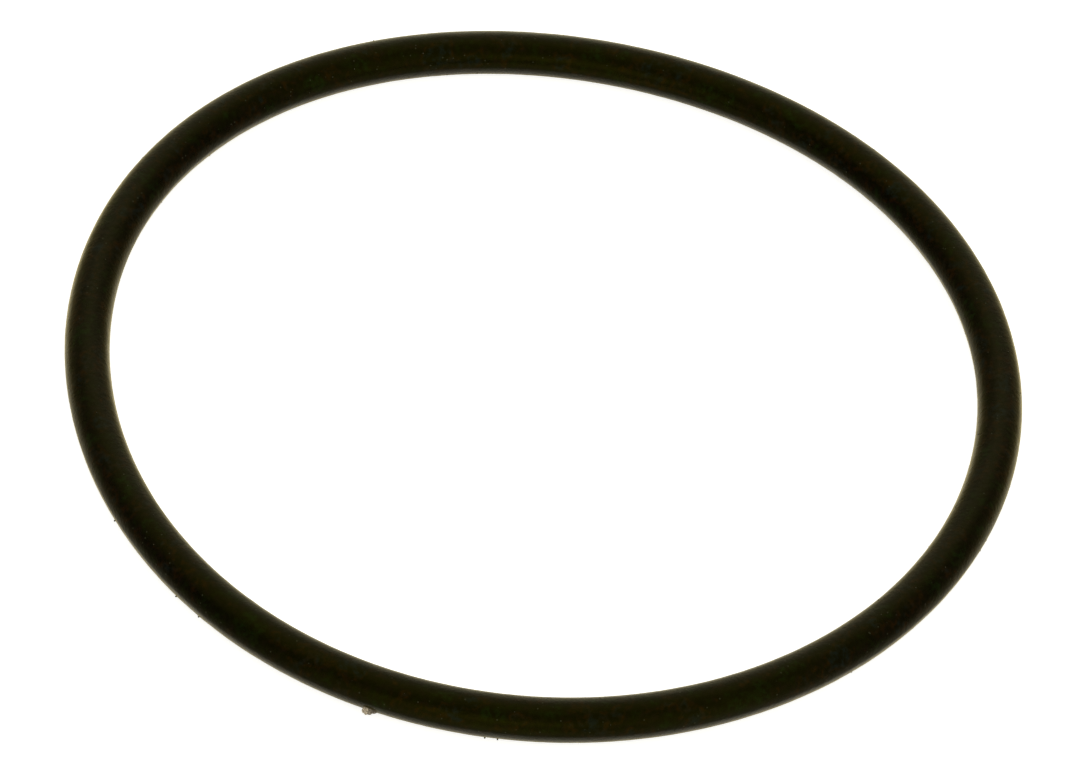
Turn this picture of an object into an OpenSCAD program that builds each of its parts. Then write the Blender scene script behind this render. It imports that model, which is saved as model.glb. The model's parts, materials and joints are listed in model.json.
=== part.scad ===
// Rubber o-ring, moulded in one piece and lying flat.
// The origin is the ring's centre, on the surface that it lies on. +Z runs up the ring's axis.

/* [Ring] */
// Inside diameter of the free ring, across the hole from cord to cord
inside_d = 69.44; // [20:0.01:400]
// Diameter of the cord, which is round in section
cord_d = 3.53; // [1:0.01:8]

/* [Parting line] */
// Width of the line where the two halves of the mould met, inside and outside the ring
line_w = 0.1; // [0.05:0.01:0.3]
// How far the trimmed line stands proud of the cord
line_h = 0.03; // [0.01:0.01:0.1]

/* [Hidden] */

// Radius of the circle that the middle of the cord follows
centre_r = (inside_d + cord_d) / 2;
// Height of the middle of the cord, which is also the plane where the mould halves meet
centre_z = cord_d / 2;

$fn = 144;

// The round cord, cut across
module cord_section() {
    circle(d = cord_d);
}

// The flat-topped line that trimming leaves, running through the cord from its inner to its outer edge
module line_section() {
    square([cord_d + 2 * line_h, line_w], center = true);
}

// The closed ring: one section turned about the ring's axis, with no joint along the cord
module o_ring() {
    color([0.12, 0.11, 0.06])
        translate([0, 0, centre_z])
            rotate_extrude()
                translate([centre_r, 0]) {
                    cord_section();
                    line_section();
                }
}

o_ring();
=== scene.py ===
import json
import math
import random

import bmesh
import bpy
from mathutils import Matrix, Vector, noise


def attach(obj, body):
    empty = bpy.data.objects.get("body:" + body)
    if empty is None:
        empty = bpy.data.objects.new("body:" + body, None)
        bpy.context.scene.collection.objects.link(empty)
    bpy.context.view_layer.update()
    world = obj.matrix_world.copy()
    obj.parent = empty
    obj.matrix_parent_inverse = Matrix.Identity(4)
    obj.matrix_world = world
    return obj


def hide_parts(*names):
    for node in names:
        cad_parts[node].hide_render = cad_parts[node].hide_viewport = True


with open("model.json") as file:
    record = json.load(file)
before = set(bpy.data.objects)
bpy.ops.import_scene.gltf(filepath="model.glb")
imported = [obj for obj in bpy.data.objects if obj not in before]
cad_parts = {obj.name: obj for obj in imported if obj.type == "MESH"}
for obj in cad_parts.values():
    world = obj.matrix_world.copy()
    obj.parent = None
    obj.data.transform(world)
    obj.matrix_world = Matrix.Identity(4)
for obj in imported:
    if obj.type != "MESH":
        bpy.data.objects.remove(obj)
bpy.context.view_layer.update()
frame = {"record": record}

# The ring: one closed cord of solid black rubber, round in section, cured in a two-part mould.
# It lies free, so it isn't held to a true circle: the soft cord rests slightly three-cornered.
# The trimmed mould seam is a low soft ridge round its inside and its outside.
MM = 0.001
mounts = {m["name"]: m for m in frame["record"]["mounts"]}
inside_r = mounts["inside_diameter"]["dims"]["r_mm"] * MM
outside_r = mounts["outside_diameter"]["dims"]["r_mm"] * MM
cord_r = mounts["inside_diameter"]["pos_m"][2]
seam_height = (outside_r - inside_r) / 2 - cord_r
ring_r = (inside_r + outside_r) / 2
scene = bpy.context.scene

# How far the resting ring leaves a true circle: lobes round the ring, reach, and where a lobe points
RESTING_SHAPE = (
    (3, 0.334 * MM, math.radians(19.6)),
    (4, 0.090 * MM, math.radians(48.4)),
)
# The trimmed seam runs out softly over the cord: how far off it is down to half its height
SEAM_SPREAD = 0.25 * MM
# The mesh is finer near the seam: how far off it, and in how many steps
SEAM_REACH = 0.9 * MM
SEAM_STEPS = 5
STEPS_ROUND_RING = 1200
STEPS_OVER_CORD = 22
# Height and spacing of the faint waves in the moulded skin
SKIN_WAVES = ((0.006 * MM, 1.6 * MM), (0.008 * MM, 0.6 * MM))

# Patches of tone in the black: where each comes in the random lumps, and its colour
RUBBER_TONES = (
    (0.35, (0.0005, 0.0020, 0.0003, 1)),
    (0.44, (0.0004, 0.0006, 0.0000, 1)),
    (0.50, (0.0008, 0.0002, 0.0004, 1)),
    (0.56, (0.0028, 0.0008, 0.0000, 1)),
    (0.66, (0.0006, 0.0015, 0.0019, 1)),
)
PATCH_SIZE = 2.0 * MM
PATCH_DETAIL = 2
# The mottle: small spots in which those tones are weaker or stronger
MOTTLE_SIZE = 0.45 * MM
MOTTLE_DETAIL = 6
MOTTLE_FROM = (0.41, 0.66)
MOTTLE_SHADE = (0.0, 3.3)
# The grain: fine relief left by the mould's own surface
GRAIN_SIZE = 0.28 * MM
GRAIN_DETAIL = 3
GRAIN_HEIGHT = 0.022 * MM
# The bloom: places where the skin is a little duller
BLOOM_SIZE = 1.3 * MM
BLOOM_DETAIL = 3
BLOOM_FROM = (0.3, 0.7)
ROUGHNESS = (0.24, 0.34)
# Specks of dust: colour, distance apart, size across, and the share of places that have one
DUST = (0.022, 0.023, 0.016, 1)
DUST_SPACING = 0.7 * MM
DUST_SIZE = 0.08 * MM
DUST_SHARE = 0.6
# The gloss of the rubber, and the soft sheen that shows at its rims
GLOSS_IOR = 1.195
GLOSS_TINT = (0.68, 0.65, 0.04, 1)
RIM_SHEEN = 0.87
RIM_SHEEN_ROUGHNESS = 0.3
RIM_SHEEN_TINT = (1, 0.81, 0.26, 1)


def resting_radius(turn):
    """Radius of the cord's middle line at an angle round the ring."""
    lobes = sum(reach * math.cos(count * (turn - points)) for count, reach, points in RESTING_SHAPE)
    return ring_r + lobes


def section_angles():
    """Angles round the cord's section, anticlockwise from outward, close together at the two seams."""
    seam_reach = math.asin(SEAM_REACH / cord_r)
    over_seam = [seam_reach * i * abs(i) / SEAM_STEPS**2 for i in range(-SEAM_STEPS, SEAM_STEPS + 1)]
    span = math.pi - 2 * seam_reach
    over_cord = [seam_reach + span * i / STEPS_OVER_CORD for i in range(1, STEPS_OVER_CORD)]
    outer_half = over_seam + over_cord
    return outer_half + [math.pi + angle for angle in outer_half]


def section_radius(angle):
    """Radius of the cord's section, with the seam as a soft ridge at its middle height."""
    off_seam = cord_r * math.sin(angle)
    return cord_r + seam_height / (1 + (off_seam / SEAM_SPREAD) ** 2)


def place_on_cord(turn, angle, off_middle):
    """The point at two angles, round the ring and round the section, at a distance off the middle line."""
    out = resting_radius(turn) + off_middle * math.cos(angle)
    return Vector((out * math.cos(turn), out * math.sin(turn), cord_r + off_middle * math.sin(angle)))


def closed_tube(rows):
    """Vertices and quads of a tube whose rows of points close on each other."""
    across = len(rows[0])
    points = [point for row in rows for point in row]
    faces = []
    for i in range(len(rows)):
        here = i * across
        there = (i + 1) % len(rows) * across
        for j in range(across):
            k = (j + 1) % across
            faces.append((here + j, there + j, there + k, here + k))
    return points, faces


def ring_mesh():
    """The skin of the cord, lifted by the seam and by the faint waves, and never below the table."""
    angles = section_angles()
    rows = []
    for i in range(STEPS_ROUND_RING):
        turn = 2 * math.pi * i / STEPS_ROUND_RING
        row = []
        for angle in angles:
            smooth = place_on_cord(turn, angle, section_radius(angle))
            wave = sum(height * noise.noise(smooth / spacing) for height, spacing in SKIN_WAVES)
            lifted = place_on_cord(turn, angle, section_radius(angle) + wave)
            lifted.z = max(lifted.z, 0)
            row.append(lifted)
        rows.append(row)
    points, faces = closed_tube(rows)
    mesh = bpy.data.meshes.new("rubber_ring")
    mesh.from_pydata(points, [], faces)
    mesh.polygons.foreach_set("use_smooth", [True] * len(faces))
    mesh.update()
    return mesh


def connect(tree, node, inputs):
    """Sets a node's inputs. Each is a value, or another node's output that is linked to it."""
    for socket, value in inputs.items():
        if isinstance(value, bpy.types.NodeSocket):
            tree.links.new(value, node.inputs[socket])
        else:
            node.inputs[socket].default_value = value


def add_node(tree, kind, inputs=None, **settings):
    """Adds a shader node with its settings and its inputs."""
    node = tree.nodes.new(kind)
    for name, value in settings.items():
        setattr(node, name, value)
    connect(tree, node, inputs or {})
    return node


def reckon(tree, how, *values):
    """Adds a node that puts values together in a named way, such as MULTIPLY or MAXIMUM."""
    return add_node(tree, "ShaderNodeMath", dict(enumerate(values)), operation=how).outputs[0]


def new_finish(name):
    """A new material, and the tree of nodes that it is made with."""
    finish = bpy.data.materials.new(name)
    finish.use_nodes = True
    return finish, finish.node_tree


def lumps(tree, place, size, detail):
    """A soft random value from 0 to 1, in lumps of about one size."""
    texture = add_node(tree, "ShaderNodeTexNoise", {"Vector": place, "Scale": 1 / size, "Detail": detail})
    return texture.outputs["Fac"]


def spread(tree, value, low, high, to_low=0.0, to_high=1.0):
    """Maps a value's range from low to high onto another range, and holds it at the ends."""
    ends = {"Value": value, "From Min": low, "From Max": high, "To Min": to_low, "To Max": to_high}
    return add_node(tree, "ShaderNodeMapRange", ends).outputs["Result"]


# The mix node's places for its share, its two colours and the colour that comes out
MIX_SHARE = 0
MIX_FIRST = 6
MIX_SECOND = 7
MIX_RESULT = 2


def blend_colours(tree, share, first, second, how="MIX"):
    """Mixes two colours, or puts them together in another named way."""
    inputs = {MIX_SHARE: share, MIX_FIRST: first, MIX_SECOND: second}
    mixer = add_node(tree, "ShaderNodeMix", inputs, data_type="RGBA", blend_type=how)
    return mixer.outputs[MIX_RESULT]


def rubber_tones(tree, place):
    """The black of the rubber in soft patches of olive, brown, green and grey."""
    ramp = add_node(tree, "ShaderNodeValToRGB", {"Fac": lumps(tree, place, PATCH_SIZE, PATCH_DETAIL)})
    stops = ramp.color_ramp.elements
    for share, tone in RUBBER_TONES:
        stops.new(share).color = tone
    stops.remove(stops[-1])
    stops.remove(stops[0])
    return ramp.outputs["Color"]


def dust_specks(tree, place):
    """1 on a few round specks of dust and 0 between them."""
    cells = add_node(tree, "ShaderNodeTexVoronoi", {"Vector": place, "Scale": 1 / DUST_SPACING})
    size = DUST_SIZE / DUST_SPACING
    speck = spread(tree, cells.outputs["Distance"], size / 2, size, 1, 0)
    chosen = reckon(tree, "LESS_THAN", cells.outputs["Color"], DUST_SHARE)
    return reckon(tree, "MULTIPLY", speck, chosen)


def rubber_finish():
    """Satin black rubber with soft patches of tone, a fine mottle and grain, and a little dust."""
    finish, tree = new_finish("moulded_black_rubber")
    place = add_node(tree, "ShaderNodeTexCoord").outputs["Object"]
    mottle = lumps(tree, place, MOTTLE_SIZE, MOTTLE_DETAIL)
    shade = spread(tree, mottle, *MOTTLE_FROM, *MOTTLE_SHADE)
    tone = blend_colours(tree, 1.0, rubber_tones(tree, place), shade, "MULTIPLY")
    tone = blend_colours(tree, dust_specks(tree, place), tone, DUST)
    bloom = lumps(tree, place, BLOOM_SIZE, BLOOM_DETAIL)
    grain = lumps(tree, place, GRAIN_SIZE, GRAIN_DETAIL)
    relief = add_node(tree, "ShaderNodeBump", {"Height": grain, "Distance": GRAIN_HEIGHT})
    connect(tree, tree.nodes["Principled BSDF"], {
        "Base Color": tone,
        "Roughness": spread(tree, bloom, *BLOOM_FROM, *ROUGHNESS),
        "Normal": relief.outputs["Normal"],
        "IOR": GLOSS_IOR,
        "Specular Tint": GLOSS_TINT,
        "Sheen Weight": RIM_SHEEN,
        "Sheen Roughness": RIM_SHEEN_ROUGHNESS,
        "Sheen Tint": RIM_SHEEN_TINT,
    })
    return finish


def add_piece(name, mesh, finish):
    """Puts a mesh in the scene, with its finish."""
    piece = bpy.data.objects.new(name, mesh)
    scene.collection.objects.link(piece)
    piece.data.materials.append(finish)
    return piece


ring = add_piece("rubber_ring", ring_mesh(), rubber_finish())
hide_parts("o_ring")
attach(ring, "root")

# The lint: a pale scrap of dirt stuck low on the outside of the cord at the front left.
# It is a few soft lumps of fluff pressed together, pale at one end and grey at the other.
# Fine grit lies all round the ring, held by the slightly tacky skin.
LINT_TURN = math.radians(255.0)
LINT_ANGLE = math.radians(-27)
# Each lump of fluff: its place along the cord, how proud of the skin its middle is,
# and its half sizes along the cord, out of it and across it
PALE_LUMPS = (
    (-0.24 * MM, 0.06 * MM, 0.16 * MM, 0.34 * MM, 0.30 * MM),
    (-0.04 * MM, 0.12 * MM, 0.24 * MM, 0.34 * MM, 0.34 * MM),
)
GREY_LUMPS = (
    (0.18 * MM, 0.08 * MM, 0.28 * MM, 0.32 * MM, 0.30 * MM),
    (0.46 * MM, 0.00 * MM, 0.28 * MM, 0.20 * MM, 0.22 * MM),
)
LINT_ROUGH = 0.22
LINT_ROUGH_SIZE = 0.14 * MM
PALE_COLOURS = ((0.22, 0.19, 0.155, 1), (0.64, 0.55, 0.46, 1))
GREY_COLOURS = ((0.06, 0.051, 0.040, 1), (0.30, 0.26, 0.215, 1))
# How finely a lump of fluff and a grain of grit are cut
FLUFF_DIVISIONS = 3
GRIT_DIVISIONS = 1
# The grit: half sizes, degrees round the cord from outward that it reaches, how long or short
# a grain may be for its height, and the share of its half size by which its middle is proud
GRIT_SEED = 4
GRIT_COUNT = 150
GRIT_SIZE = (0.02 * MM, 0.05 * MM)
GRIT_ANGLES = (-60, 240)
GRIT_STRETCH = (0.7, 1.5)
GRIT_PROUD = 1 / 3
GRIT_COLOUR = (0.045, 0.040, 0.028, 1)
# Bigger grains on the front edge: degrees round the ring and round the cord
EDGE_GRAINS = ((213.5, -24), (227.0, -32), (231.0, -34), (269.0, -42), (270.5, -42))
EDGE_GRAIN_SIZE = 0.08 * MM
EDGE_GRAIN_PROUD = 1 / 2
# Dirt is dull and matt
DIRT_DETAIL = 3
DIRT_FROM = (0.35, 0.65)
DIRT_ROUGHNESS = 0.9
DIRT_GLOSS = 0.2


def lump_of_dirt(shape, middle, axes, rough_size):
    """Adds a ball whose three half sizes are the lengths of its axes, ragged if it has a rough size."""
    divisions = FLUFF_DIVISIONS if rough_size else GRIT_DIVISIONS
    ball = bmesh.ops.create_icosphere(shape, subdivisions=divisions, radius=1)
    for vert in ball["verts"]:
        spot = middle + sum((axis * share for axis, share in zip(axes, vert.co)), Vector())
        rough = 1 + LINT_ROUGH * noise.noise(spot / rough_size) if rough_size else 1
        vert.co = middle + (spot - middle) * rough


def directions_on_cord(turn, angle):
    """Along the cord, out of its skin, and across it, at a place on the cord."""
    along = Vector((-math.sin(turn), math.cos(turn), 0))
    out = Vector((math.cos(angle) * math.cos(turn), math.cos(angle) * math.sin(turn), math.sin(angle)))
    return along, out, out.cross(along)


def dirt_finish(name, dark, light):
    """Dull matt dirt, darker and lighter in small lumps."""
    finish, tree = new_finish(name)
    place = add_node(tree, "ShaderNodeTexCoord").outputs["Object"]
    share = spread(tree, lumps(tree, place, LINT_ROUGH_SIZE, DIRT_DETAIL), *DIRT_FROM)
    connect(tree, tree.nodes["Principled BSDF"], {
        "Base Color": blend_colours(tree, share, dark, light),
        "Roughness": DIRT_ROUGHNESS,
        "Specular IOR Level": DIRT_GLOSS,
    })
    return finish


def add_dirt(name, shape, finish):
    """Makes one piece of a finished shape of dirt, stuck to the ring."""
    mesh = bpy.data.meshes.new(name)
    shape.to_mesh(mesh)
    shape.free()
    mesh.polygons.foreach_set("use_smooth", [True] * len(mesh.polygons))
    piece = add_piece(name, mesh, finish)
    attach(piece, "root")


along, out, across = directions_on_cord(LINT_TURN, LINT_ANGLE)
lint_ends = (
    ("pale_lint", PALE_LUMPS, PALE_COLOURS),
    ("grey_lint", GREY_LUMPS, GREY_COLOURS),
)
for name, fluff, colours in lint_ends:
    lint_shape = bmesh.new()
    for along_cord, proud, half_along, half_out, half_across in fluff:
        middle = place_on_cord(LINT_TURN + along_cord / outside_r, LINT_ANGLE, cord_r + proud)
        axes = (along * half_along, out * half_out, across * half_across)
        lump_of_dirt(lint_shape, middle, axes, LINT_ROUGH_SIZE)
    add_dirt(name, lint_shape, dirt_finish(name, *colours))

chance = random.Random(GRIT_SEED)
grit_shape = bmesh.new()
for _ in range(GRIT_COUNT):
    turn = chance.uniform(0, 2 * math.pi)
    angle = math.radians(chance.uniform(*GRIT_ANGLES))
    half = chance.uniform(*GRIT_SIZE)
    along, out, across = directions_on_cord(turn, angle)
    half_along = half * chance.uniform(*GRIT_STRETCH)
    half_across = half * chance.uniform(*GRIT_STRETCH)
    axes = (along * half_along, out * half, across * half_across)
    lump_of_dirt(grit_shape, place_on_cord(turn, angle, cord_r + half * GRIT_PROUD), axes, 0)
for turn_degrees, angle_degrees in EDGE_GRAINS:
    turn = math.radians(turn_degrees)
    angle = math.radians(angle_degrees)
    axes = [direction * EDGE_GRAIN_SIZE for direction in directions_on_cord(turn, angle)]
    middle = place_on_cord(turn, angle, cord_r + EDGE_GRAIN_SIZE * EDGE_GRAIN_PROUD)
    lump_of_dirt(grit_shape, middle, axes, 0)
add_dirt("grit", grit_shape, dirt_finish("grey_grit", GRIT_COLOUR, GRIT_COLOUR))

# The table: a plain white board with a smooth coat, which the ring lies on.
# In the rubber's gloss it is plain white where it is seen steeply, and mirrors the tent at a shallow angle.
# It glows a little to the camera, so that it reads as white and keeps a faint shadow.
TABLE_HALF = 2.5
TABLE_DROP = 0.01 * MM
TABLE_COLOUR = (0.8, 0.8, 0.8, 1)
WHITE = (1, 1, 1, 1)
GLOW_SEEN = 0.78
# How far the board is turned from the ray that meets it, on a scale from 0 to 1:
# plain white up to the first number, and all mirror from the second
FACING_SCALE = 0.5
MIRROR_FROM_FACING = (0.30, 0.75)


def either(tree, share, first, second):
    """The first look where the share is 0, the second where it is 1, and a mix of them between."""
    return add_node(tree, "ShaderNodeMixShader", {0: share, 1: first, 2: second}).outputs[0]


def table_finish():
    """White board, with what the camera and the rubber's gloss see of it."""
    finish, tree = new_finish("white_board")
    tree.nodes.clear()
    path = add_node(tree, "ShaderNodeLightPath")
    glow = reckon(tree, "MULTIPLY", path.outputs["Is Camera Ray"], GLOW_SEEN)
    facing = add_node(tree, "ShaderNodeLayerWeight", {"Blend": FACING_SCALE}).outputs["Facing"]
    mirrored = spread(tree, facing, *MIRROR_FROM_FACING)
    board = add_node(tree, "ShaderNodeBsdfDiffuse", {"Color": TABLE_COLOUR}).outputs[0]
    white = add_node(tree, "ShaderNodeEmission", {"Color": WHITE, "Strength": 1.0}).outputs[0]
    mirror = add_node(tree, "ShaderNodeBsdfGlossy", {"Color": WHITE, "Roughness": 0.0}).outputs[0]
    in_gloss = either(tree, mirrored, white, mirror)
    as_seen = either(tree, path.outputs["Is Glossy Ray"], board, in_gloss)
    shine = add_node(tree, "ShaderNodeEmission", {"Strength": glow}).outputs[0]
    both = add_node(tree, "ShaderNodeAddShader", {0: as_seen, 1: shine}).outputs[0]
    add_node(tree, "ShaderNodeOutputMaterial", {"Surface": both})
    return finish


table_mesh = bpy.data.meshes.new("table")
table_shape = bmesh.new()
bmesh.ops.create_grid(table_shape, x_segments=1, y_segments=1, size=TABLE_HALF)
table_shape.to_mesh(table_mesh)
table_shape.free()
table = add_piece("table", table_mesh, table_finish())
table.location.z = -TABLE_DROP

# The light: a white tent of soft panels round the ring, slightly warm, with no lamp in it.
# It is brightest in front of the ring and behind it, and dim low down at its left and right ends.
# Each panel has its direction round the ring, its height angle, how narrow it is, and its strength.
PANELS = {
    "roof": (0, 90, 3, 0.92),
    "back low": (90, 8, 10, 1.37),
    "back roof": (90, 60, 8, 0.86),
    "front": (272, 18, 22, 1.66),
    "front roof": (285, 35, 10, 0.53),
    "front left": (245, 10, 10, 1.32),
    "front right": (312, 10, 12, 1.28),
    "right low": (325, 5, 14, 0.24),
    "right middle": (335, 40, 12, 0.63),
    "left roof": (180, 55, 10, 0.54),
}
PANEL_COLOUR = (1, 0.97, 0.80, 1)


def panel_direction(round_ring, height):
    """Towards a panel, from its angle round the ring and its height angle in degrees."""
    turn = math.radians(round_ring)
    rise = math.radians(height)
    return Vector((math.cos(rise) * math.cos(turn), math.cos(rise) * math.sin(turn), math.sin(rise)))


world = bpy.data.worlds.new("studio")
scene.world = world
world.use_nodes = True
tree = world.node_tree
tree.nodes.clear()
looking = add_node(tree, "ShaderNodeTexCoord").outputs["Generated"]
strength = 0.0
for round_ring, height, narrowness, panel_light in PANELS.values():
    ends = {0: looking, 1: panel_direction(round_ring, height)}
    facing = add_node(tree, "ShaderNodeVectorMath", ends, operation="DOT_PRODUCT").outputs["Value"]
    soft = reckon(tree, "POWER", reckon(tree, "MAXIMUM", facing, 0.0), narrowness)
    strength = reckon(tree, "MULTIPLY_ADD", soft, panel_light, strength)
room = add_node(tree, "ShaderNodeBackground", {"Color": PANEL_COLOUR, "Strength": strength}).outputs[0]
backdrop = add_node(tree, "ShaderNodeBackground", {"Color": WHITE}).outputs[0]
is_seen = add_node(tree, "ShaderNodeLightPath").outputs["Is Camera Ray"]
add_node(tree, "ShaderNodeOutputWorld", {"Surface": either(tree, is_seen, room, backdrop)})

# The camera: a long lens from in front and above, turned a little, as the ring is seen.
# It looks past the ring's middle by the two aims, so that the ring lies a little high in the picture.
CAMERA_LENS_MM = 400
CAMERA_DISTANCE = 953.2 * MM
CAMERA_HEIGHT_ANGLE = math.radians(46.28)
CAMERA_TURN = math.radians(7.58)
AIM_RIGHT = 0.12 * MM
AIM_UP = 1.21 * MM

camera = bpy.data.objects.new("camera", bpy.data.cameras.new("camera"))
camera.data.lens = CAMERA_LENS_MM
back = Vector((0, -math.cos(CAMERA_HEIGHT_ANGLE), math.sin(CAMERA_HEIGHT_ANGLE)))
level_right = Vector((1, 0, 0))
level_up = back.cross(level_right)
right = math.cos(CAMERA_TURN) * level_right + math.sin(CAMERA_TURN) * level_up
up = back.cross(right)
ring_centre = Vector((0, 0, cord_r))
stands_at = ring_centre + back * CAMERA_DISTANCE - right * AIM_RIGHT - up * AIM_UP
camera.matrix_world = Matrix.Translation(stands_at) @ Matrix((right, up, back)).transposed().to_4x4()
scene.collection.objects.link(camera)
scene.camera = camera
scene.view_settings.view_transform = "Standard"
